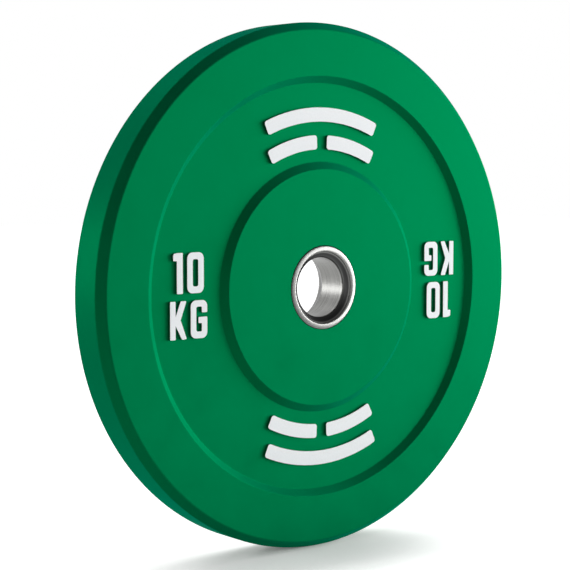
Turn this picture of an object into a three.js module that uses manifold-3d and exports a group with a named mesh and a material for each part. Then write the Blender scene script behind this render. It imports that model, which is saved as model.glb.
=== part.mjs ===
// Bumper plate for a 50 mm bar sleeve: a moulded rubber disc round a steel insert, with raised white-faced marks.
// Millimetres, +Z up. The plate stands on its rim, and the origin is the centre of its bore, half way through it.
// +Y runs along the bore from the front face to the rear face, and +X is to the right as seen from the front.

import * as THREE from 'three';
import { mergeVertices } from 'three/addons/utils/BufferGeometryUtils.js';
import Module from 'manifold-3d';

const wasm = await Module();
wasm.setup();

// Rubber disc
const OUTER_DIAMETER = 450;
const THICKNESS = 43.5;
const RIM_CHAMFER_RUN = 6;
const RIM_CHAMFER_RISE = 7;
const FACE_RING_WIDTH = 39.2;
const CHANNEL_DEPTH = 4.9;
const OUTER_SLOPE_RUN = 5.7;
const HUB_DISC_DIAMETER = 202;
const HUB_SLOPE_RUN = 6.2;
const CREST_ROUND = 1.2;
const DISC_STEPS = 80;

// Steel insert: a turned sleeve with a rounded lip, and a second lip ring pressed over its rear end
const BORE_DIAMETER = 51;
const SLEEVE_WALL = 3.5;
const SHOULDER_STEP = 1.5;
const LIP_WIDTH = 5.3;
const LIP_CROWN = 0.8;
const LIP_DROP = 1.2;
const LIP_THICKNESS = 3;
const FUNNEL_RUN = 4.9;
const FRONT_FUNNEL_DEPTH = 3.1;
const REAR_TAPER_DEPTH = 9.5;
const SKIRT_WALL = 3.7;
const SKIRT_LENGTH = 6;
const INSERT_STEPS = 48;
const LIP_STEPS = 3;

// Anchor flange: a drilled steel disc on the sleeve, locked in the rubber
const ANCHOR_REACH = 21.5;
const ANCHOR_THICKNESS = 3;
const ANCHOR_HOLE_DIAMETER = 10;
const ANCHOR_HOLES = 6;
const ANCHOR_HOLE_STEPS = 12;

// Raised marks: a moulded boss with a white facing on its top
const BOSS_HEIGHT = 1.6;
const FACING_THICKNESS = 0.5;

// Clearance between pieces, and how far a joined or cut solid runs past the surface it meets
const FIT_GAP = 0.3;
const OVERRUN = 1;

// Radii and levels that follow from the sizes above; a level is a distance from the plate's middle plane
const rimRadius = OUTER_DIAMETER / 2;
const faceLevel = THICKNESS / 2;
const landLevel = faceLevel - RIM_CHAMFER_RISE;
const floorLevel = faceLevel - CHANNEL_DEPTH;
const faceRingOuter = rimRadius - RIM_CHAMFER_RUN;
const faceRingInner = faceRingOuter - FACE_RING_WIDTH;
const channelOuter = faceRingInner - OUTER_SLOPE_RUN;
const hubDiscRadius = HUB_DISC_DIAMETER / 2;
const channelInner = hubDiscRadius + HUB_SLOPE_RUN;
const channelWidth = channelOuter - channelInner;

const boreRadius = BORE_DIAMETER / 2;
const sleeveRadius = boreRadius + SLEEVE_WALL;
const shoulderRadius = sleeveRadius + SHOULDER_STEP;
const skirtInner = sleeveRadius + FIT_GAP;
const skirtOuter = skirtInner + SKIRT_WALL;
const lipInner = boreRadius + FUNNEL_RUN;
const lipOuter = lipInner + LIP_WIDTH;
const lipSeatRadius = lipOuter + FIT_GAP;
const lipSeatLevel = faceLevel - LIP_THICKNESS;
const lipInnerLevel = faceLevel - LIP_DROP;
const landFront = lipInnerLevel - FRONT_FUNNEL_DEPTH;
const landRear = lipInnerLevel - REAR_TAPER_DEPTH;
const skirtFront = landRear - SKIRT_LENGTH;
const anchorRadius = shoulderRadius + ANCHOR_REACH;
const anchorLevel = ANCHOR_THICKNESS / 2;
const anchorHolePitch = (shoulderRadius + anchorRadius) / 2;

// Marks follow the channel that they stand in: each share is of the channel's width
const strokeShare = 0.082;
const digitHeightShare = 0.493;
const letterHeightShare = 0.462;
const rowGapShare = 0.087;
const oneWidthShare = 0.139;
const zeroWidthShare = 0.244;
const digitGapShare = 0.064;
const kWidthShare = 0.243;
const gWidthShare = 0.245;
const letterGapShare = 0.058;
const groupInsetShare = 0.02;
const barRoundShare = 0.035;
const longBarShares = [0.51, 0.69];
const longBarEndShare = 0.923;
const shortBarShares = [0.16, 0.34];
const shortBarStartShare = 0.081;
const shortBarEndShare = 0.873;

const markStroke = strokeShare * channelWidth;
const cornerRound = 0.9 * markStroke;
const endRound = 0.15 * markStroke;

// The points of a closed outline whose corners [u, v, radius] are rounded, each by half an edge at most.
function roundedOutline(corners, arcSteps) {
  const points = [];
  corners.forEach(([u, v, radius], index) => {
    const corner = new THREE.Vector2(u, v);
    if (!radius) {
      points.push(corner);
      return;
    }
    const [beforeU, beforeV] = corners.at(index - 1);
    const [afterU, afterV] = corners[(index + 1) % corners.length];
    const toBefore = new THREE.Vector2(beforeU - u, beforeV - v);
    const toAfter = new THREE.Vector2(afterU - u, afterV - v);
    const halfAngle = toBefore.angleTo(toAfter) / 2;
    const reach = Math.min(radius / Math.tan(halfAngle), toBefore.length() / 2, toAfter.length() / 2);
    const arcRadius = reach * Math.tan(halfAngle);
    const inward = toBefore.clone().normalize().add(toAfter.clone().normalize());
    const centre = corner.clone().add(inward.setLength(arcRadius / Math.sin(halfAngle)));
    const start = corner.clone().add(toBefore.setLength(reach)).sub(centre);
    const end = corner.clone().add(toAfter.setLength(reach)).sub(centre);
    const turn = Math.atan2(start.cross(end), start.dot(end));
    for (let step = 0; step <= arcSteps; step += 1) {
      points.push(start.clone().rotateAround(new THREE.Vector2(), (turn * step) / arcSteps).add(centre));
    }
  });
  return points;
}

// Points on a circle round (0, 0) or another centre, anticlockwise, with a flat at the top.
function circlePoints(radius, steps, centre = new THREE.Vector2()) {
  return Array.from({ length: steps }, (_, step) => {
    const angle = (2 * Math.PI * (step + 0.5)) / steps;
    return new THREE.Vector2(-radius * Math.sin(angle), radius * Math.cos(angle)).add(centre);
  });
}

// A quarter of an ellipse from one [radius, level] to another, leaving the first along the plate's axis.
function quarterArc([fromRadius, fromLevel], [toRadius, toLevel], steps) {
  return Array.from({ length: steps + 1 }, (_, step) => {
    const angle = (Math.PI / 2) * (step / steps);
    return [
      toRadius + (fromRadius - toRadius) * Math.cos(angle),
      fromLevel + (toLevel - fromLevel) * Math.sin(angle),
    ];
  });
}

// Keeps only the shared positions of a closed geometry, with its faces turned outwards.
function closedGeometry(geometry) {
  const bare = geometry.clone();
  bare.deleteAttribute('normal');
  bare.deleteAttribute('uv');
  const merged = mergeVertices(bare);
  const position = merged.getAttribute('position');
  const corners = [0, 1, 2].map(() => new THREE.Vector3());
  let volume = 0;
  for (let i = 0; i < merged.index.count; i += 3) {
    corners.forEach((corner, k) => corner.fromBufferAttribute(position, merged.index.getX(i + k)));
    volume += corners[0].dot(corners[1].clone().cross(corners[2]));
  }
  if (volume < 0) {
    merged.index.array.reverse();
  }
  return merged;
}

// A ring turned round the plate's axis from a closed outline of [radius, level] points.
function turned(outline, steps) {
  const points = outline.map(([radius, level]) => new THREE.Vector2(radius, level));
  return closedGeometry(new THREE.LatheGeometry([...points, points[0]], steps, Math.PI / steps));
}

// A plate cut from an outline with holes, seen from the front, that rises from one level towards the viewer.
function cutPlate(outline, holes, level, height) {
  const shape = new THREE.Shape(outline);
  shape.holes = holes.map((hole) => new THREE.Path(hole));
  const geometry = new THREE.ExtrudeGeometry(shape, { depth: height, bevelEnabled: false });
  geometry.rotateX(Math.PI / 2);
  geometry.translate(0, -level, 0);
  return closedGeometry(geometry);
}

function toSolid(geometry) {
  return new wasm.Manifold(
    new wasm.Mesh({
      numProp: 3,
      vertProperties: geometry.getAttribute('position').array,
      triVerts: Uint32Array.from(geometry.index.array),
    }),
  );
}

function toGeometry(solid) {
  const mesh = solid.getMesh();
  const geometry = new THREE.BufferGeometry();
  geometry.setAttribute('position', new THREE.BufferAttribute(mesh.vertProperties, 3));
  geometry.setIndex(new THREE.BufferAttribute(mesh.triVerts, 1));
  return geometry;
}

function namedMesh(name, geometry, look) {
  const mesh = new THREE.Mesh(geometry, new THREE.MeshStandardMaterial(look));
  mesh.name = name;
  return mesh;
}

// Looks
const greenRubber = { color: 0x08804c, roughness: 0.55, metalness: 0 };
const whiteFacing = { color: 0xe4e6e9, roughness: 0.6, metalness: 0 };
const stainlessSteel = { color: 0xb9b9b7, roughness: 0.28, metalness: 1 };
const plainSteel = { color: 0x7d7f82, roughness: 0.5, metalness: 1 };

// Digits and letters, from [0, 0] at their lower left corner
function oneMark() {
  const width = oneWidthShare * channelWidth;
  const height = digitHeightShare * channelWidth;
  const stemLeft = width - 1.07 * markStroke;
  const flagBottom = height - 1.18 * markStroke;
  const flagTop = height - 0.15 * markStroke;
  const outline = roundedOutline(
    [
      [stemLeft, 0, endRound],
      [width, 0, endRound],
      [width, height, endRound],
      [stemLeft, height, 0],
      [0, flagTop, 2 * endRound],
      [0, flagBottom, endRound],
      [stemLeft, flagBottom, 0],
    ],
    2,
  );
  return { outline, holes: [], width, height };
}

function zeroMark() {
  const width = zeroWidthShare * channelWidth;
  const height = digitHeightShare * channelWidth;
  const box = (inset, round) =>
    roundedOutline(
      [
        [inset, inset, round],
        [width - inset, inset, round],
        [width - inset, height - inset, round],
        [inset, height - inset, round],
      ],
      3,
    );
  return { outline: box(0, cornerRound), holes: [box(markStroke, endRound)], width, height };
}

function kMark() {
  const width = kWidthShare * channelWidth;
  const height = letterHeightShare * channelWidth;
  const stem = 0.97 * markStroke;
  const outline = roundedOutline(
    [
      [0, 0, endRound],
      [stem, 0, endRound],
      [stem, 0.37 * height, 0],
      [0.7 * width, 0, endRound],
      [width, 0, endRound],
      [0.63 * width, 0.505 * height, 0],
      [0.985 * width, height, endRound],
      [0.635 * width, height, endRound],
      [stem, 0.59 * height, 0],
      [stem, height, endRound],
      [0, height, endRound],
    ],
    2,
  );
  return { outline, holes: [], width, height };
}

function gMark() {
  const width = gWidthShare * channelWidth;
  const height = letterHeightShare * channelWidth;
  const right = width - markStroke;
  const top = height - 0.95 * markStroke;
  const lipEnd = 0.675 * height;
  const barTop = 0.56 * height;
  const barBottom = 0.395 * height;
  const barLeft = 0.465 * width;
  const outline = roundedOutline(
    [
      [width, lipEnd, endRound],
      [width, height, cornerRound],
      [0, height, cornerRound],
      [0, 0, cornerRound],
      [width, 0, cornerRound],
      [width, barTop, endRound],
      [barLeft, barTop, endRound],
      [barLeft, barBottom, endRound],
      [right, barBottom, 0],
      [right, markStroke, 0],
      [markStroke, markStroke, 0],
      [markStroke, top, 0],
      [right, top, 0],
      [right, lipEnd, endRound],
    ],
    3,
  );
  return { outline, holes: [], width, height };
}

// Moves a mark so that its lower left corner is at (left, bottom).
function movedMark({ outline, holes }, left, bottom) {
  const shift = new THREE.Vector2(left, bottom);
  const move = (points) => points.map((point) => point.clone().add(shift));
  return { outline: move(outline), holes: holes.map(move) };
}

// The weight mark: two digits over two letters, each row centred, at the left of the channel.
function weightMarks() {
  const one = oneMark();
  const zero = zeroMark();
  const letterK = kMark();
  const letterG = gMark();
  const centre = -((channelInner + channelOuter) / 2 - groupInsetShare * channelWidth);
  const digitGap = digitGapShare * channelWidth;
  const letterGap = letterGapShare * channelWidth;
  const digitsLeft = centre - (one.width + digitGap + zero.width) / 2;
  const lettersLeft = centre - (letterK.width + letterGap + letterG.width) / 2;
  const rowGap = rowGapShare * channelWidth;
  const bottom = -(one.height + rowGap + letterK.height) / 2;
  const digitsBottom = bottom + letterK.height + rowGap;
  return {
    digit_one: movedMark(one, digitsLeft, digitsBottom),
    digit_zero: movedMark(zero, digitsLeft + one.width + digitGap, digitsBottom),
    letter_k: movedMark(letterK, lettersLeft, bottom),
    letter_g: movedMark(letterG, lettersLeft + letterK.width + letterGap, bottom),
  };
}

// A bar bent round the plate's axis, as shares of the channel's width: its inner and outer edge in the channel, and
// its two ends along its middle line, clockwise from the top.
function bentBar([innerShare, outerShare], fromShare, toShare) {
  const inner = channelInner + innerShare * channelWidth;
  const outer = channelInner + outerShare * channelWidth;
  const [from, to] = [fromShare, toShare].map((share) => (2 * share * channelWidth) / (inner + outer));
  const steps = Math.ceil((to - from) / THREE.MathUtils.degToRad(6));
  const barRound = barRoundShare * channelWidth;
  const edge = (radius) =>
    Array.from({ length: steps + 1 }, (_, step) => {
      const angle = THREE.MathUtils.lerp(from, to, step / steps);
      const isEnd = step === 0 || step === steps;
      return [radius * Math.sin(angle), radius * Math.cos(angle), isEnd ? barRound : 0];
    });
  return { outline: roundedOutline([...edge(outer), ...edge(inner).reverse()], 2), holes: [] };
}

// Plain bars at the top of the channel: a long one over two short ones.
function barMarks() {
  return {
    bar_long: bentBar(longBarShares, -longBarEndShare, longBarEndShare),
    bar_short_a: bentBar(shortBarShares, -shortBarEndShare, -shortBarStartShare),
    bar_short_b: bentBar(shortBarShares, shortBarStartShare, shortBarEndShare),
  };
}

// Sections of the turned pieces; the front half of the disc, from its rim to the edge of the insert's seat
function discFace() {
  return [
    [rimRadius, landLevel, 0],
    [faceRingOuter, faceLevel, 0],
    [faceRingInner, faceLevel, CREST_ROUND],
    [channelOuter, floorLevel, 0],
    [channelInner, floorLevel, 0],
    [hubDiscRadius, faceLevel, CREST_ROUND],
    [lipSeatRadius, faceLevel, 0],
    [lipSeatRadius, lipSeatLevel, 0],
  ];
}

function discSection() {
  const front = discFace().map(([radius, level, round]) => [radius, -level, round]);
  const seat = [
    [shoulderRadius + FIT_GAP, -lipSeatLevel, 0],
    [shoulderRadius + FIT_GAP, -anchorLevel, 0],
    [skirtInner, -anchorLevel, 0],
    [skirtInner, skirtFront - FIT_GAP, 0],
    [skirtOuter + FIT_GAP, skirtFront - FIT_GAP, 0],
    [skirtOuter + FIT_GAP, lipSeatLevel, 0],
  ];
  const rear = discFace().reverse();
  return roundedOutline([...front, ...seat, ...rear], 1).map((point) => point.toArray());
}

// A lip's crown at one end of the insert, from its outer edge over the top to its inner edge.
function lipCrown() {
  const crown = [(lipOuter + lipInner) / 2, faceLevel + LIP_CROWN];
  const rise = quarterArc([lipOuter, faceLevel], crown, LIP_STEPS);
  const fall = quarterArc([lipInner, lipInnerLevel], crown, LIP_STEPS).reverse();
  return [...rise, ...fall.slice(1)];
}

function sleeveSection() {
  const front = lipCrown().map(([radius, level]) => [radius, -level]);
  return [
    [lipOuter, -lipSeatLevel],
    ...front,
    [boreRadius, -landFront],
    [boreRadius, landRear],
    [sleeveRadius, landRear],
    [sleeveRadius, -anchorLevel],
    [shoulderRadius, -anchorLevel],
    [shoulderRadius, -lipSeatLevel],
  ];
}

function rearRingSection() {
  return [
    [lipOuter, lipSeatLevel],
    ...lipCrown(),
    [boreRadius, landRear],
    [skirtInner, landRear],
    [skirtInner, skirtFront],
    [skirtOuter, skirtFront],
    [skirtOuter, lipSeatLevel],
  ];
}

// The anchor flange, or the space that it takes up in the rubber, whose edges stand off it by the clearance.
function anchorPlate(clearance, innerRadius) {
  const holeRadius = ANCHOR_HOLE_DIAMETER / 2 - clearance;
  const holes = circlePoints(anchorHolePitch, ANCHOR_HOLES).map((centre) =>
    circlePoints(holeRadius, ANCHOR_HOLE_STEPS, centre),
  );
  const outline = circlePoints(anchorRadius + clearance, INSERT_STEPS);
  const bore = circlePoints(innerRadius, INSERT_STEPS);
  return cutPlate(outline, [bore, ...holes], -anchorLevel, ANCHOR_THICKNESS);
}

// Assembly
const plate = new THREE.Group();
let rubber = toSolid(turned(discSection(), DISC_STEPS));
rubber = rubber.subtract(toSolid(anchorPlate(FIT_GAP, skirtInner - OVERRUN)));

// Each face carries its marks twice, upright and then turned by half a turn round the bore.
for (const [face, faceTurn] of [['front', 0], ['rear', Math.PI]]) {
  for (const [sides, markTurn] of [[['left', 'top'], 0], [['right', 'bottom'], Math.PI]]) {
    const place = new THREE.Group();
    place.rotation.set(0, markTurn, faceTurn, 'ZYX');
    plate.add(place);
    place.updateMatrixWorld();
    [weightMarks(), barMarks()].forEach((marks, kind) => {
      for (const [name, { outline, holes }] of Object.entries(marks)) {
        const boss = cutPlate(outline, holes, floorLevel - OVERRUN, OVERRUN + BOSS_HEIGHT);
        rubber = rubber.add(toSolid(boss.applyMatrix4(place.matrixWorld)));
        const facing = cutPlate(outline, holes, floorLevel + BOSS_HEIGHT, FACING_THICKNESS);
        place.add(namedMesh(`${face}_${sides[kind]}_${name}`, facing, whiteFacing));
      }
    });
  }
}

plate.add(namedMesh('rubber_disc', toGeometry(rubber), greenRubber));
plate.add(namedMesh('hub_sleeve', turned(sleeveSection(), INSERT_STEPS), stainlessSteel));
plate.add(namedMesh('rear_lip_ring', turned(rearRingSection(), INSERT_STEPS), stainlessSteel));
plate.add(namedMesh('anchor_flange', anchorPlate(0, skirtInner), plainSteel));

export default plate;
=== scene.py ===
"""Bumper plate: the looks of a moulded rubber disc with white-faced marks and a turned steel insert.

Metres, in the frame of the CAD: the origin is the centre of the bore, +Y runs from the front face to the
rear face and +Z is up. The plate stands on its rim on a white studio floor.
"""

import math

import bmesh
import bpy
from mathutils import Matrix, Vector


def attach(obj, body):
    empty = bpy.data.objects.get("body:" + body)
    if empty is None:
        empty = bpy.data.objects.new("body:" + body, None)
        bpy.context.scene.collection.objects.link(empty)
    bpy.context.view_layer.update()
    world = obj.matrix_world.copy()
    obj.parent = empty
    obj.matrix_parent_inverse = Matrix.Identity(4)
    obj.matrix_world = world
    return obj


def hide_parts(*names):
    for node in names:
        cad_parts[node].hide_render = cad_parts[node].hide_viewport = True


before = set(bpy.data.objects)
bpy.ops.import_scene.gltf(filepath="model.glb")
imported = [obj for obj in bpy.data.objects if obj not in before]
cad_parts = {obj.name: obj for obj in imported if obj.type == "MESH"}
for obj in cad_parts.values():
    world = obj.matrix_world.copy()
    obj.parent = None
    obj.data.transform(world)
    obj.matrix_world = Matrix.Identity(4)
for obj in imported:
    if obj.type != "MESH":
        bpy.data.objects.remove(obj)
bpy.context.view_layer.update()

# Rubber disc: a level is a distance from the plate's middle plane
RIM_RADIUS = 0.225
FACE_LEVEL = 0.02175
RIM_CHAMFER_RUN = 0.006
RIM_CHAMFER_RISE = 0.007
FACE_RING_WIDTH = 0.0392
CHANNEL_DEPTH = 0.0049
OUTER_SLOPE_RUN = 0.0057
HUB_DISC_RADIUS = 0.101
HUB_SLOPE_RUN = 0.0062
ANCHOR_REACH = 0.0215
ANCHOR_THICKNESS = 0.003
RIM_EDGE_ROUND = 0.0022
CREST_ROUND = 0.0005
ROOT_ROUND = 0.0006
SEAT_ROUND = 0.0004
RIM_STEPS = 360

# Steel insert: the crown's share is of the lip's width, from the outer edge
BORE_RADIUS = 0.0255
SLEEVE_WALL = 0.0035
SHOULDER_STEP = 0.0015
LIP_WIDTH = 0.0053
LIP_CROWN = 0.0008
lip_crown_share = 0.7
LIP_DROP = 0.0012
LIP_THICKNESS = 0.003
FUNNEL_RUN = 0.0049
FRONT_FUNNEL_DEPTH = 0.0031
REAR_TAPER_DEPTH = 0.0095
SKIRT_WALL = 0.0037
SKIRT_LENGTH = 0.006
FUNNEL_ROUND = 0.003
TURNED_EDGE_ROUND = 0.00025
TURNED_EDGE_ANGLE = math.radians(30)
CROWN_STEPS = 10
INSERT_STEPS = 192

# Raised marks: shares of the channel's width, but those of corner and end rounds are of a stroke's width
BOSS_HEIGHT = 0.0019
FACING_THICKNESS = 0.0002
FACING_EDGE_ROUND = 0.00008
FACING_EDGE_ANGLE = math.radians(50)
FACING_EDGE_STEPS = 2
stroke_share = 0.082
corner_round_share = 0.9
end_round_share = 0.15
digit_height_share = 0.493
letter_height_share = 0.462
one_width_share = 0.139
zero_width_share = 0.244
k_width_share = 0.243
g_width_share = 0.245
digit_gap_share = 0.064
letter_gap_share = 0.058
row_gap_share = 0.087
group_inset_share = 0.02
bar_round_share = 0.035
long_bar_shares = (0.51, 0.69)
long_bar_end_share = 0.923
short_bar_shares = (0.16, 0.34)
short_bar_start_share = 0.081
short_bar_end_share = 0.873
BAR_STEP = math.radians(3)

# Surface patterns: widths of blotches and lines, and heights of relief
CLOUD_SIZE = 0.03
GRAIN_SIZE = 0.0009  # finer on the real part: drawn as coarse as it needs to show
GRAIN_DEPTH = 0.00002
MOTTLE_SIZE = 0.0016
PEEL_DEPTH = 0.00004
TOOL_LINE_PITCH = 0.0007  # finer on the real part: drawn as coarse as it needs to show
TOOL_LINE_DEPTH = 0.000008
MILL_SCALE_SIZE = 0.006
line_shine_share = 0.2
line_wear_share = 0.15

# Most values of a noise texture lie between these two
noise_low_share = 0.3
noise_high_share = 0.7

# Colours of the turned steel, by the share of the way from the bore to the lip's outer edge. They hold
# painted light:
# the funnel is painted dark as a painted reflection of a dark room, the lip is painted lighter than the bore
# as a painted reflection, and the lip's outer edge is painted dark as painted shade in the groove round it
BORE_COLOUR = "#7c7c7a"
LIP_EDGE_SHADE_COLOUR = "#5c5c5a"
painted_light_zone_shares = (
    (0.12, "#464646"), (0.36, "#3c3c3c"), (0.48, "#90908e"), (0.86, "#90908e"), (0.94, "#8c8c8a"),
)

# Gaps, overlaps and steps that pieces share
FIT_GAP = 0.0003
OVERRUN = 0.001
CORNER_STEPS = 5
WELD_DISTANCE = 1e-6
FLAT_FACE_WEIGHT = 100
HALF_TURN = math.pi
QUARTER_TURN = math.pi / 2

# Camera, as solved from the photograph's edges: its place, and the turn and dip of its view from +Y
CAMERA_PLACE = (-0.87532, -1.06176, 0.10949)
CAMERA_TURN = math.radians(38.684)
CAMERA_DIP = math.radians(4.518)
CAMERA_FOCAL_PIXELS = 1592.64
PICTURE_PIXELS = 570

# Softboxes: bearing from the front towards +X and elevation, in degrees, then width, height and watts
SOFTBOX_DISTANCE = 8
SOFTBOXES = {
    "Key softbox": (70, 3, 4.5, 3.6, 910),
    "Front softbox": (35, 4, 5, 3, 140),
    "Left softbox": (-25, 2, 2, 2, 50),
    "Rear left softbox": (-137, 4, 7, 3, 330),
    "Back softbox": (-170, 55, 3, 3, 80),
}

# World: its grey fill, and the dark part of the room, which reflections see around one direction
WORLD_FILL = 0.09
DARK_ROOM = 0.18
DARK_TOWARDS = (0.1, -0.75, 0.65)
DARK_EDGE_COSINE = 0.1
DARK_CORE_COSINE = 0.55

# Floor: its glow follows the share of open sky over it, towards one direction, which paints the plate's
# shadow;
# under a closed sky it is black, under an open one white
FLOOR_REACH = 6
FLOOR_FRONT = 0.35
SHADE_REACH = 0.12
SHADE_TOWARDS = (0.816, 0.571, 0.087)
SHADE_SAMPLES = 16
painted_shadow_glow_shares = ((0.5, 0.1), (0.57, 0.33), (0.7, 0.34), (0.82, 0.55), (0.9, 0.95))

land_level = FACE_LEVEL - RIM_CHAMFER_RISE
floor_level = FACE_LEVEL - CHANNEL_DEPTH
face_ring_outer = RIM_RADIUS - RIM_CHAMFER_RUN
face_ring_inner = face_ring_outer - FACE_RING_WIDTH
channel_outer = face_ring_inner - OUTER_SLOPE_RUN
channel_inner = HUB_DISC_RADIUS + HUB_SLOPE_RUN
channel_width = channel_outer - channel_inner

sleeve_radius = BORE_RADIUS + SLEEVE_WALL
shoulder_radius = sleeve_radius + SHOULDER_STEP
skirt_inner = sleeve_radius + FIT_GAP
skirt_outer = skirt_inner + SKIRT_WALL
lip_inner = BORE_RADIUS + FUNNEL_RUN
lip_outer = lip_inner + LIP_WIDTH
lip_seat_radius = lip_outer + FIT_GAP
lip_seat_level = FACE_LEVEL - LIP_THICKNESS
lip_inner_level = FACE_LEVEL - LIP_DROP
land_front = lip_inner_level - FRONT_FUNNEL_DEPTH
land_rear = lip_inner_level - REAR_TAPER_DEPTH
skirt_front = land_rear - SKIRT_LENGTH
anchor_radius = shoulder_radius + ANCHOR_REACH + FIT_GAP
anchor_level = ANCHOR_THICKNESS / 2

stroke = stroke_share * channel_width
corner_round = corner_round_share * stroke
end_round = end_round_share * stroke
digit_height = digit_height_share * channel_width
letter_height = letter_height_share * channel_width


# Nodes and meshes

def add_node(tree, kind, inputs=None, **settings):
    """Adds a node with its settings, and sets or links its inputs, by name or by number."""
    added = tree.nodes.new(kind)
    for name, value in settings.items():
        setattr(added, name, value)
    for key, value in (inputs or {}).items():
        if isinstance(value, bpy.types.NodeSocket):
            tree.links.new(value, added.inputs[key])
        else:
            added.inputs[key].default_value = value
    return added


def shape_tree(name, sizes):
    """A Geometry Nodes tree with a geometry going in and out and named inputs; returns it and its inputs."""
    tree = bpy.data.node_groups.new(name, "GeometryNodeTree")
    tree.interface.new_socket("Geometry", in_out="OUTPUT", socket_type="NodeSocketGeometry")
    tree.interface.new_socket("Outline", in_out="INPUT", socket_type="NodeSocketGeometry")
    for size, kind in sizes.items():
        tree.interface.new_socket(size, in_out="INPUT", socket_type=f"NodeSocket{kind}")
    return tree, add_node(tree, "NodeGroupInput").outputs


def rounded_outline(tree, given):
    """Turns the outline into a closed curve with each corner rounded by its own radius."""
    radius = add_node(tree, "GeometryNodeInputNamedAttribute", {"Name": "corner_round"}, data_type="FLOAT")
    curve = add_node(tree, "GeometryNodeMeshToCurve", {"Mesh": given["Outline"]})
    inputs = {
        "Curve": curve.outputs["Curve"],
        "Count": given["Corner steps"],
        "Radius": radius.outputs["Attribute"],
        "Limit Radius": True,
    }
    return add_node(tree, "GeometryNodeFilletCurve", inputs, mode="POLY").outputs["Curve"]


def end_tree(tree, geometry, material):
    """Ends a tree with real geometry in one material; returns the tree."""
    plain = add_node(tree, "GeometryNodeRemoveAttribute", {"Geometry": geometry, "Name": "corner_round"})
    realized = add_node(tree, "GeometryNodeRealizeInstances", {"Geometry": plain.outputs[0]})
    finished = add_node(
        tree, "GeometryNodeSetMaterial",
        {"Geometry": realized.outputs[0], "Material": material},
    )
    add_node(tree, "NodeGroupOutput", {"Geometry": finished.outputs[0]})
    return tree


def turned_ring_tree():
    """Turns a section, drawn as (radius, level), round the plate's axis."""
    sizes = {"Path radius": "Float", "Turn steps": "Int", "Corner steps": "Int", "Material": "Material"}
    tree, given = shape_tree("Turned ring", sizes)
    inward = add_node(tree, "ShaderNodeMath", {0: given["Path radius"], 1: -1}, operation="MULTIPLY")
    offset = add_node(tree, "ShaderNodeCombineXYZ", {"X": inward.outputs[0]})
    profile = add_node(
        tree, "GeometryNodeTransform",
        {"Geometry": rounded_outline(tree, given), "Translation": offset.outputs[0]},
    )
    path = add_node(
        tree, "GeometryNodeCurvePrimitiveCircle",
        {"Resolution": given["Turn steps"], "Radius": given["Path radius"]},
    )
    ring = add_node(
        tree, "GeometryNodeCurveToMesh",
        {"Curve": path.outputs["Curve"], "Profile Curve": profile.outputs[0]},
    )
    upright = add_node(
        tree, "GeometryNodeTransform",
        {"Geometry": ring.outputs[0], "Rotation": (QUARTER_TURN, 0, 0)},
    )
    return end_tree(tree, upright.outputs[0], given["Material"])


def raised_mark_tree():
    """Raises a flat mark, drawn as (right, up) on the front face, and turns it to its place."""
    sizes = {
        "Level": "Float", "Height": "Float", "Corner steps": "Int", "Turn": "Vector", "Material": "Material",
    }
    tree, given = shape_tree("Raised mark", sizes)
    flat = add_node(tree, "GeometryNodeFillCurve", {"Curve": rounded_outline(tree, given)}, mode="NGONS")
    raised = add_node(
        tree, "GeometryNodeExtrudeMesh",
        {"Mesh": flat.outputs[0], "Offset": (0, 0, 1), "Offset Scale": given["Height"], "Individual": False},
        mode="FACES",
    )
    back = add_node(tree, "GeometryNodeFlipFaces", {"Mesh": flat.outputs[0]})
    both = add_node(tree, "GeometryNodeJoinGeometry")
    for part in (back.outputs[0], raised.outputs["Mesh"]):
        tree.links.new(part, both.inputs[0])
    closed = add_node(
        tree, "GeometryNodeMergeByDistance",
        {"Geometry": both.outputs[0], "Distance": WELD_DISTANCE},
    )
    forward = add_node(tree, "ShaderNodeMath", {0: given["Level"], 1: -1}, operation="MULTIPLY")
    level = add_node(tree, "ShaderNodeCombineXYZ", {"Y": forward.outputs[0]})
    fronted = add_node(
        tree, "GeometryNodeTransform",
        {"Geometry": closed.outputs[0], "Translation": level.outputs[0], "Rotation": (QUARTER_TURN, 0, 0)},
    )
    placed = add_node(
        tree, "GeometryNodeTransform",
        {"Geometry": fronted.outputs[0], "Rotation": given["Turn"]},
    )
    return end_tree(tree, placed.outputs[0], given["Material"])


turned_ring = turned_ring_tree()
raised_mark = raised_mark_tree()


def outline_piece(name, *loops):
    """A piece that holds closed outlines of (x, y, corner radius) points, for a tree to shape."""
    points = [point for loop in loops for point in loop]
    edges = []
    for loop in loops:
        first = len(edges)
        edges += [(first + i, first + (i + 1) % len(loop)) for i in range(len(loop))]
    mesh = bpy.data.meshes.new(name)
    mesh.from_pydata([(x, y, 0) for x, y, _ in points], edges, [])
    radii = mesh.attributes.new("corner_round", "FLOAT", "POINT")
    radii.data.foreach_set("value", [radius for _, _, radius in points])
    piece = bpy.data.objects.new(name, mesh)
    bpy.context.scene.collection.objects.link(piece)
    return piece


def plain_mesh(piece):
    """Gives the piece the mesh that its modifiers make, and removes them."""
    graph = bpy.context.evaluated_depsgraph_get()
    mesh = bpy.data.meshes.new_from_object(piece.evaluated_get(graph))
    piece.modifiers.clear()
    piece.data = mesh
    return piece


def shaped(piece, tree, **sizes):
    """Runs the tree on the piece's outlines, and closes the mesh that it makes with its faces outwards."""
    modifier = piece.modifiers.new(tree.name, "NODES")
    modifier.node_group = tree
    for socket in tree.interface.items_tree:
        key = socket.name.replace(" ", "_").lower()
        if key in sizes:
            modifier[socket.identifier] = sizes[key]
    plain_mesh(piece)
    shell = bmesh.new()
    shell.from_mesh(piece.data)
    bmesh.ops.remove_doubles(shell, verts=shell.verts, dist=WELD_DISTANCE)
    bmesh.ops.recalc_face_normals(shell, faces=shell.faces)
    for face in shell.faces:
        face.smooth = True
    shell.to_mesh(piece.data)
    shell.free()
    return piece


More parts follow.
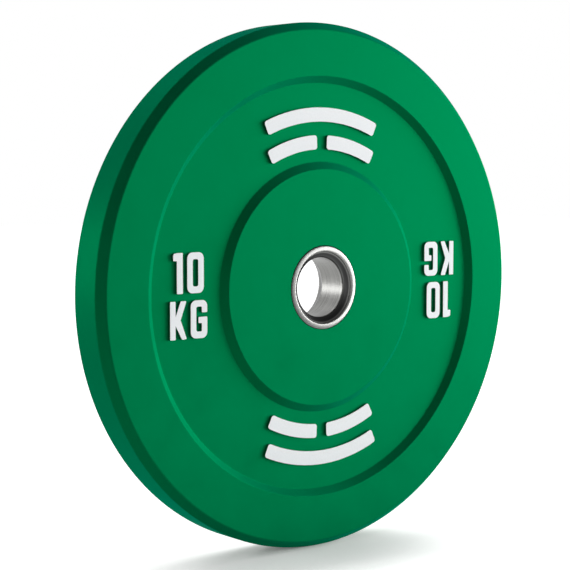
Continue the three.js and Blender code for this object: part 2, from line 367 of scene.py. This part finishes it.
def evened(piece):
    """Shades large flat faces flat up to their rounded edges."""
    weighted = piece.modifiers.new("Weighted normals", "WEIGHTED_NORMAL")
    weighted.weight = FLAT_FACE_WEIGHT
    weighted.keep_sharp = True
    return plain_mesh(piece)


# Materials: a Mix node takes its two colours at inputs 6 and 7 and gives their mix at output 2

def linear(hex_colour):
    """An sRGB hex colour as linear values with full alpha."""
    channels = [int(hex_colour[i:i + 2], 16) / 255 for i in (1, 3, 5)]
    return (*[c / 12.92 if c <= 0.04045 else ((c + 0.055) / 1.055) ** 2.4 for c in channels], 1)


def new_material(name):
    """An empty node material; returns it, its tree and the output of its Object coordinates."""
    material = bpy.data.materials.new(name)
    material.use_nodes = True
    tree = material.node_tree
    tree.nodes.clear()
    return material, tree, add_node(tree, "ShaderNodeTexCoord").outputs["Object"]


def finish_surface(tree, **inputs):
    """Ends a material with a Principled surface; an underscore stands for a space in an input's name."""
    named = {name.replace("_", " "): value for name, value in inputs.items()}
    shader = add_node(tree, "ShaderNodeBsdfPrincipled", named)
    add_node(tree, "ShaderNodeOutputMaterial", {"Surface": shader.outputs[0]})


def moulded_rubber():
    """Vulcanised coloured rubber, pressed in a smooth steel mould: a deep blue-green with a soft satin gloss.

    The compound flows in faint clouds, which are also a little duller or glossier, and the mould leaves a
    fine grain. The gloss has the pigment's colour, without white in it, so it comes from a metallic share. A
    faint blue-green bloom on the surface lightens what is seen at a slant.
    """
    material, tree, place = new_material("vulcanised_rubber_moulded")
    clouds = add_node(tree, "ShaderNodeTexNoise", {"Vector": place, "Scale": 1 / CLOUD_SIZE, "Detail": 4})
    grain = add_node(tree, "ShaderNodeTexNoise", {"Vector": place, "Scale": 1 / GRAIN_SIZE, "Detail": 3})
    colour = add_node(
        tree, "ShaderNodeMix",
        {0: clouds.outputs["Fac"], 6: linear("#006632"), 7: linear("#00733d")}, data_type="RGBA",
    )
    roughness = add_node(
        tree, "ShaderNodeMapRange",
        {
            "Value": clouds.outputs["Fac"], "From Min": noise_low_share, "From Max": noise_high_share,
            "To Min": 0.42, "To Max": 0.5,
        },
    )
    relief = add_node(
        tree, "ShaderNodeBump",
        {"Height": grain.outputs["Fac"], "Distance": GRAIN_DEPTH, "Strength": 0.5},
    )
    finish_surface(
        tree,
        Base_Color=colour.outputs[2],
        Metallic=0.3,
        Roughness=roughness.outputs[0],
        Specular_IOR_Level=0,
        Specular_Tint=linear("#00ffe7"),
        Sheen_Weight=0.12,
        Sheen_Roughness=0.8,
        Sheen_Tint=linear("#00f0e6"),
        Normal=relief.outputs[0],
    )
    return material


def white_coat():
    """Thick white screen ink on the tops of the moulded marks: matt, with a faint mottle and orange peel."""
    material, tree, place = new_material("white_ink_screened")
    mottle = add_node(tree, "ShaderNodeTexNoise", {"Vector": place, "Scale": 1 / MOTTLE_SIZE, "Detail": 3})
    colour = add_node(
        tree, "ShaderNodeMix",
        {0: mottle.outputs["Fac"], 6: linear("#ecf0f2"), 7: linear("#f8fbfd")}, data_type="RGBA",
    )
    relief = add_node(
        tree, "ShaderNodeBump",
        {"Height": mottle.outputs["Fac"], "Distance": PEEL_DEPTH, "Strength": 0.5},
    )
    finish_surface(tree, Base_Color=colour.outputs[2], Roughness=0.55, Normal=relief.outputs[0])
    return material


def turned_steel():
    """Stainless steel, turned on a lathe: fine tool lines run round the bore, and the lip is satin.

    The lines stretch reflections across themselves and vary in shine. The funnel is painted dark as a painted
    reflection of a dark room, the lip is painted lighter than the bore as a painted reflection, and the lip's
    outer edge is painted dark as painted shade in the groove round it.
    """
    material, tree, place = new_material("stainless_steel_turned")
    axes = add_node(tree, "ShaderNodeSeparateXYZ", {"Vector": place}).outputs
    across = add_node(tree, "ShaderNodeCombineXYZ", {"X": axes["X"], "Y": axes["Z"]}).outputs[0]
    radius = add_node(tree, "ShaderNodeVectorMath", {0: across}, operation="LENGTH").outputs["Value"]
    round_section = add_node(tree, "ShaderNodeCombineXYZ", {"X": radius, "Y": axes["Y"]}).outputs[0]
    lines = add_node(
        tree, "ShaderNodeTexNoise",
        {"Vector": round_section, "Scale": 1 / TOOL_LINE_PITCH, "Detail": 4},
    ).outputs["Fac"]
    outward = add_node(
        tree, "ShaderNodeMapRange",
        {"Value": radius, "From Min": BORE_RADIUS, "From Max": lip_outer},
    )
    # Painted reflection and shade by radius: a dark funnel, a lip lighter than the bore, and a dark outer lip
    # edge
    painted_light_zones = add_node(tree, "ShaderNodeValToRGB", {"Fac": outward.outputs[0]})
    painted_light_zones.color_ramp.elements[0].color = linear(BORE_COLOUR)
    painted_light_zones.color_ramp.elements[1].color = linear(LIP_EDGE_SHADE_COLOUR)
    for position, hex_colour in painted_light_zone_shares:
        painted_light_zones.color_ramp.elements.new(position).color = linear(hex_colour)
    shine = add_node(
        tree, "ShaderNodeMapRange",
        {
            "Value": lines, "From Min": noise_low_share, "From Max": noise_high_share,
            "To Min": 1 - line_shine_share, "To Max": 1 + line_shine_share,
        },
    )
    colour = add_node(
        tree, "ShaderNodeVectorMath",
        {0: painted_light_zones.outputs["Color"], "Scale": shine.outputs[0]}, operation="SCALE",
    )
    polish = add_node(
        tree, "ShaderNodeMapRange",
        {"Value": radius, "From Min": BORE_RADIUS, "From Max": lip_inner, "To Min": 0.3, "To Max": 0.45},
    )
    wear = add_node(
        tree, "ShaderNodeMapRange",
        {
            "Value": lines, "From Min": noise_low_share, "From Max": noise_high_share,
            "To Min": 1 - line_wear_share, "To Max": 1 + line_wear_share,
        },
    )
    roughness = add_node(
        tree, "ShaderNodeMath",
        {0: polish.outputs[0], 1: wear.outputs[0]}, operation="MULTIPLY",
    )
    backward = add_node(tree, "ShaderNodeMath", {0: axes["X"], 1: -1}, operation="MULTIPLY")
    round_bore = add_node(tree, "ShaderNodeCombineXYZ", {"X": axes["Z"], "Z": backward.outputs[0]})
    relief = add_node(tree, "ShaderNodeBump", {"Height": lines, "Distance": TOOL_LINE_DEPTH, "Strength": 0.6})
    finish_surface(
        tree,
        Base_Color=colour.outputs[0],
        Metallic=1,
        Roughness=roughness.outputs[0],
        Anisotropic=0.65,
        Tangent=round_bore.outputs[0],
        Normal=relief.outputs[0],
    )
    return material


def rolled_steel():
    """Plain rolled steel plate: dull grey, with faint darker mill scale."""
    material, tree, place = new_material("plain_steel_rolled")
    scale = add_node(tree, "ShaderNodeTexNoise", {"Vector": place, "Scale": 1 / MILL_SCALE_SIZE, "Detail": 5})
    colour = add_node(
        tree, "ShaderNodeMix",
        {0: scale.outputs["Fac"], 6: linear("#65676a"), 7: linear("#929497")}, data_type="RGBA",
    )
    roughness = add_node(
        tree, "ShaderNodeMapRange",
        {
            "Value": scale.outputs["Fac"], "From Min": noise_low_share, "From Max": noise_high_share,
            "To Min": 0.42, "To Max": 0.58,
        },
    )
    finish_surface(tree, Base_Color=colour.outputs[2], Metallic=1, Roughness=roughness.outputs[0])
    return material


# Rubber disc

def disc_section():
    """Half of the disc cut through its axis, as (radius, level, corner radius) points."""
    face = [
        (RIM_RADIUS, land_level, RIM_EDGE_ROUND),
        (face_ring_outer, FACE_LEVEL, RIM_EDGE_ROUND),
        (face_ring_inner, FACE_LEVEL, CREST_ROUND),
        (channel_outer, floor_level, ROOT_ROUND),
        (channel_inner, floor_level, ROOT_ROUND),
        (HUB_DISC_RADIUS, FACE_LEVEL, CREST_ROUND),
        (lip_seat_radius, FACE_LEVEL, SEAT_ROUND),
        (lip_seat_radius, lip_seat_level, 0),
    ]
    seat = [
        (shoulder_radius + FIT_GAP, -lip_seat_level, 0),
        (shoulder_radius + FIT_GAP, -anchor_level, 0),
        (anchor_radius, -anchor_level, 0),
        (anchor_radius, anchor_level, 0),
        (skirt_inner, anchor_level, 0),
        (skirt_inner, skirt_front - FIT_GAP, 0),
        (skirt_outer + FIT_GAP, skirt_front - FIT_GAP, 0),
        (skirt_outer + FIT_GAP, lip_seat_level, 0),
    ]
    return [(radius, -level, corner) for radius, level, corner in face] + seat + face[::-1]


def build_disc(mark_outlines, turns, material):
    """The moulded disc, with a boss under each mark on both faces."""
    disc = shaped(
        outline_piece("moulded_disc", disc_section()), turned_ring,
        path_radius=RIM_RADIUS, turn_steps=RIM_STEPS, corner_steps=CORNER_STEPS, material=material,
    )
    shell = bmesh.new()
    shell.from_mesh(disc.data)
    for turn in turns:
        for loops in mark_outlines.values():
            boss = shaped(
                outline_piece("boss", *loops), raised_mark,
                level=floor_level - OVERRUN, height=OVERRUN + BOSS_HEIGHT, corner_steps=CORNER_STEPS,
                turn=turn, material=material,
            )
            shell.from_mesh(boss.data)
            bpy.data.objects.remove(boss)
    shell.to_mesh(disc.data)
    shell.free()
    return evened(disc)


# Steel insert

def lip_crown():
    """The rounded top of a lip, from its outer edge over the crown to its inner edge."""
    crown_radius = lip_outer - lip_crown_share * LIP_WIDTH
    crown_level = FACE_LEVEL + LIP_CROWN
    crown = []
    for step in range(-CROWN_STEPS, CROWN_STEPS + 1):
        angle = QUARTER_TURN * step / CROWN_STEPS
        edge, foot = (lip_outer, FACE_LEVEL) if step < 0 else (lip_inner, lip_inner_level)
        radius = crown_radius + (edge - crown_radius) * abs(math.sin(angle))
        crown.append((radius, foot + (crown_level - foot) * math.cos(angle), 0))
    return crown


def sleeve_section():
    """The hub sleeve: front lip, funnel, bore and the shoulder that the anchor flange sits on."""
    return [
        (lip_outer, -lip_seat_level, 0),
        *[(radius, -level, corner) for radius, level, corner in lip_crown()],
        (BORE_RADIUS, -land_front, FUNNEL_ROUND),
        (BORE_RADIUS, land_rear, TURNED_EDGE_ROUND),
        (sleeve_radius, land_rear, 0),
        (sleeve_radius, -anchor_level, 0),
        (shoulder_radius, -anchor_level, 0),
        (shoulder_radius, -lip_seat_level, 0),
    ]


def rear_ring_section():
    """The rear lip ring: lip, taper into the bore and the skirt round the sleeve's end."""
    return [
        (lip_outer, lip_seat_level, 0),
        *lip_crown(),
        (BORE_RADIUS, land_rear, 0),
        (skirt_inner, land_rear, 0),
        (skirt_inner, skirt_front, 0),
        (skirt_outer, skirt_front, 0),
        (skirt_outer, lip_seat_level, 0),
    ]


def build_insert_piece(name, section, material):
    """A turned part, smooth but for its sharp corners."""
    piece = shaped(
        outline_piece(name, section), turned_ring,
        path_radius=lip_outer, turn_steps=INSERT_STEPS, corner_steps=CORNER_STEPS, material=material,
    )
    piece.data.set_sharp_from_angle(angle=TURNED_EDGE_ANGLE)
    return evened(piece)


# Raised marks: outlines are measured from the mark's lower left corner

def one_outline():
    """The digit one: its width and its outline."""
    width, height = one_width_share * channel_width, digit_height
    stem_left = width - 1.07 * stroke
    flag_bottom = height - 1.18 * stroke
    return width, [[
        (stem_left, 0, end_round),
        (width, 0, end_round),
        (width, height, end_round),
        (stem_left, height, 0),
        (0, height - 0.15 * stroke, 2 * end_round),
        (0, flag_bottom, end_round),
        (stem_left, flag_bottom, 0),
    ]]


def zero_outline():
    """The digit zero: its width, its outline and its opening."""
    width, height = zero_width_share * channel_width, digit_height

    def box(inset, corner):
        return [
            (inset, inset, corner),
            (width - inset, inset, corner),
            (width - inset, height - inset, corner),
            (inset, height - inset, corner),
        ]

    return width, [box(0, corner_round), box(stroke, 2 * end_round)]


def k_outline():
    """The letter K: its width and its outline."""
    width, height = k_width_share * channel_width, letter_height
    stem = 0.97 * stroke
    return width, [[
        (0, 0, end_round),
        (stem, 0, end_round),
        (stem, 0.37 * height, 0),
        (0.7 * width, 0, end_round),
        (width, 0, end_round),
        (0.63 * width, 0.505 * height, 0),
        (0.985 * width, height, end_round),
        (0.635 * width, height, end_round),
        (stem, 0.59 * height, 0),
        (stem, height, end_round),
        (0, height, end_round),
    ]]


def g_outline():
    """The letter G: its width and its outline."""
    width, height = g_width_share * channel_width, letter_height
    right, top = width - stroke, height - 0.95 * stroke
    lip_end, bar_top, bar_bottom = 0.675 * height, 0.56 * height, 0.395 * height
    bar_left = 0.465 * width
    return width, [[
        (width, lip_end, end_round),
        (width, height, corner_round),
        (0, height, corner_round),
        (0, 0, corner_round),
        (width, 0, corner_round),
        (width, bar_top, end_round),
        (bar_left, bar_top, end_round),
        (bar_left, bar_bottom, end_round),
        (right, bar_bottom, 0),
        (right, stroke, end_round),
        (stroke, stroke, 2 * end_round),
        (stroke, top, 2 * end_round),
        (right, top, end_round),
        (right, lip_end, end_round),
    ]]


def bent_bar(across_shares, from_share, to_share):
    """A bar bent round the plate's axis; its ends are measured along its middle, clockwise from the top."""
    inner, outer = [channel_inner + share * channel_width for share in across_shares]
    start, end = [2 * share * channel_width / (inner + outer) for share in (from_share, to_share)]
    steps = math.ceil((end - start) / BAR_STEP)

    def edge(radius):
        corners = []
        for step in range(steps + 1):
            angle = start + (end - start) * step / steps
            corner = bar_round_share * channel_width if step in (0, steps) else 0
            corners.append((radius * math.sin(angle), radius * math.cos(angle), corner))
        return corners

    return [edge(outer) + edge(inner)[::-1]]


def mark_outlines():
    """The marks of half a face: two digits over two letters at the left, and three plain bars at the top."""
    centre = group_inset_share * channel_width - (channel_inner + channel_outer) / 2
    row_gap = row_gap_share * channel_width
    top = (digit_height + row_gap + letter_height) / 2
    rows = [
        (top - digit_height, digit_gap_share, {"digit_one": one_outline(), "digit_zero": zero_outline()}),
        (-top, letter_gap_share, {"letter_k": k_outline(), "letter_g": g_outline()}),
    ]
    outlines = {}
    for bottom, gap_share, row in rows:
        gap = gap_share * channel_width
        left = centre - (sum(width for width, _ in row.values()) + gap) / 2
        for name, (width, loops) in row.items():
            outlines[name] = [[(x + left, y + bottom, corner) for x, y, corner in loop] for loop in loops]
            left += width + gap
    outlines["bar_long"] = bent_bar(long_bar_shares, -long_bar_end_share, long_bar_end_share)
    outlines["bar_short_a"] = bent_bar(short_bar_shares, -short_bar_end_share, -short_bar_start_share)
    outlines["bar_short_b"] = bent_bar(short_bar_shares, short_bar_start_share, short_bar_end_share)
    return outlines


def build_facing(node_name, loops, turn, material):
    """The white top of one mark, with a softly rounded edge."""
    facing = shaped(
        outline_piece(f"{node_name}_facing", *loops), raised_mark,
        level=floor_level + BOSS_HEIGHT, height=FACING_THICKNESS, corner_steps=CORNER_STEPS,
        turn=turn, material=material,
    )
    edge = facing.modifiers.new("Soft edge", "BEVEL")
    edge.width = FACING_EDGE_ROUND
    edge.segments = FACING_EDGE_STEPS
    edge.limit_method = "ANGLE"
    edge.angle_limit = FACING_EDGE_ANGLE
    return evened(plain_mesh(facing))


# Studio

def shown_white(tree, place):
    """1 for rays that see the studio itself, and the strength of its white in them.

    For the camera that is 1 everywhere; in reflections the room is dark above and in front of the plate.
    """
    path = add_node(tree, "ShaderNodeLightPath").outputs
    shown = path["Is Camera Ray"]
    for ray in ("Is Glossy Ray", "Is Transmission Ray"):
        shown = add_node(tree, "ShaderNodeMath", {0: shown, 1: path[ray]}, operation="MAXIMUM").outputs[0]
    direction = add_node(tree, "ShaderNodeVectorMath", {0: place}, operation="NORMALIZE")
    towards_dark = add_node(
        tree, "ShaderNodeVectorMath",
        {0: direction.outputs[0], 1: DARK_TOWARDS}, operation="DOT_PRODUCT",
    ).outputs["Value"]
    around = add_node(
        tree, "ShaderNodeMapRange",
        {
            "Value": towards_dark, "From Min": DARK_EDGE_COSINE, "From Max": DARK_CORE_COSINE,
            "To Min": 1, "To Max": DARK_ROOM,
        },
    )
    white = add_node(
        tree, "ShaderNodeMath",
        {0: around.outputs[0], 1: path["Is Camera Ray"]}, operation="MAXIMUM",
    )
    return shown, white.outputs[0]


def build_world():
    """A grey fill for the object, and the white background."""
    world = bpy.data.worlds.new("Studio")
    bpy.context.scene.world = world
    world.use_nodes = True
    tree = world.node_tree
    tree.nodes.clear()
    shown, strength = shown_white(tree, add_node(tree, "ShaderNodeTexCoord").outputs["Generated"])
    white = add_node(tree, "ShaderNodeBackground", {"Color": linear("#ffffff"), "Strength": strength})
    fill = add_node(tree, "ShaderNodeBackground", {"Color": linear("#ffffff"), "Strength": WORLD_FILL})
    mixed = add_node(tree, "ShaderNodeMixShader", {0: shown, 1: fill.outputs[0], 2: white.outputs[0]})
    add_node(tree, "ShaderNodeOutputWorld", {"Surface": mixed.outputs[0]})


def build_floor():
    """A matt white floor, which ends a little in front of the plate and glows, with a painted shadow round
    the plate.
    """
    material, tree, place = new_material("studio_floor_white")
    matt = add_node(tree, "ShaderNodeBsdfDiffuse", {"Color": linear("#e6e6e6")})
    # Painted shadow: the glow dims where the plate closes the sky towards one direction
    towards = add_node(tree, "ShaderNodeCombineXYZ", dict(zip("XYZ", SHADE_TOWARDS)))
    openness = add_node(
        tree, "ShaderNodeAmbientOcclusion",
        {"Distance": SHADE_REACH, "Normal": towards.outputs[0]}, samples=SHADE_SAMPLES,
    )
    painted_shadow_brightness = add_node(tree, "ShaderNodeValToRGB", {"Fac": openness.outputs["AO"]})
    for position, glow in painted_shadow_glow_shares:
        painted_shadow_brightness.color_ramp.elements.new(position).color = (glow, glow, glow, 1)
    shown, white = shown_white(tree, place)
    strength = add_node(
        tree, "ShaderNodeMath",
        {0: painted_shadow_brightness.outputs[0], 1: white}, operation="MULTIPLY",
    )
    glow = add_node(tree, "ShaderNodeEmission", {"Color": linear("#ffffff"), "Strength": strength.outputs[0]})
    both = add_node(tree, "ShaderNodeAddShader", {0: matt.outputs[0], 1: glow.outputs[0]})
    surface = add_node(tree, "ShaderNodeMixShader", {0: shown, 1: matt.outputs[0], 2: both.outputs[0]})
    add_node(tree, "ShaderNodeOutputMaterial", {"Surface": surface.outputs[0]})
    mesh = bpy.data.meshes.new("floor")
    corners = (
        (-FLOOR_REACH, -FLOOR_FRONT), (FLOOR_REACH, -FLOOR_FRONT),
        (FLOOR_REACH, FLOOR_REACH), (-FLOOR_REACH, FLOOR_REACH),
    )
    mesh.from_pydata([(x, y, -RIM_RADIUS) for x, y in corners], [], [(0, 1, 2, 3)])
    mesh.materials.append(material)
    floor = bpy.data.objects.new("floor", mesh)
    bpy.context.scene.collection.objects.link(floor)


def add_softbox(name, bearing, elevation, width, height, watts):
    """A soft lamp that faces the plate's centre."""
    light = bpy.data.lights.new(name, "AREA")
    light.shape = "RECTANGLE"
    light.size, light.size_y = width, height
    light.energy = watts
    turn, rise = math.radians(bearing), math.radians(elevation)
    out = Vector((math.sin(turn) * math.cos(rise), -math.cos(turn) * math.cos(rise), math.sin(rise)))
    lamp = bpy.data.objects.new(name, light)
    lamp.location = out * SOFTBOX_DISTANCE
    lamp.rotation_euler = (-out).to_track_quat("-Z", "Y").to_euler()
    bpy.context.scene.collection.objects.link(lamp)


def add_camera():
    """The photograph's camera."""
    data = bpy.data.cameras.new("Camera")
    data.lens = CAMERA_FOCAL_PIXELS / PICTURE_PIXELS * data.sensor_width
    camera = bpy.data.objects.new("Camera", data)
    camera.location = CAMERA_PLACE
    camera.rotation_euler = (QUARTER_TURN - CAMERA_DIP, 0, -CAMERA_TURN)
    bpy.context.scene.collection.objects.link(camera)
    bpy.context.scene.camera = camera


# Assembly

add_camera()
build_world()
build_floor()
for name, place_and_power in SOFTBOXES.items():
    add_softbox(name, *place_and_power)
bpy.context.scene.view_settings.view_transform = "Standard"

rubber, ink, turned, rolled = moulded_rubber(), white_coat(), turned_steel(), rolled_steel()
outlines = mark_outlines()

# Each face carries its marks twice, upright and then turned by half a turn round the bore
places = {
    ("front", "left", "top"): (0, 0, 0),
    ("front", "right", "bottom"): (0, HALF_TURN, 0),
    ("rear", "left", "top"): (0, 0, HALF_TURN),
    ("rear", "right", "bottom"): (0, HALF_TURN, HALF_TURN),
}

pieces = [
    (build_disc(outlines, places.values(), rubber), "rubber_disc", "green_rubber"),
    (build_insert_piece("turned_sleeve", sleeve_section(), turned), "hub_sleeve", "stainless_steel"),
    (build_insert_piece("turned_rear_ring", rear_ring_section(), turned), "rear_lip_ring", "stainless_steel"),
]
for (face, mark_side, bar_side), turn in places.items():
    for mark, loops in outlines.items():
        side = bar_side if mark.startswith("bar") else mark_side
        node_name = f"{face}_{side}_{mark}"
        pieces.append((build_facing(node_name, loops, turn, ink), node_name, "white_facing"))
for piece, node_name, slot_name in pieces:
    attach(piece, "root")
    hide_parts(node_name)

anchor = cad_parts["anchor_flange"]
anchor.data.materials.clear()
anchor.data.materials.append(rolled)

bpy.context.view_layer.update()
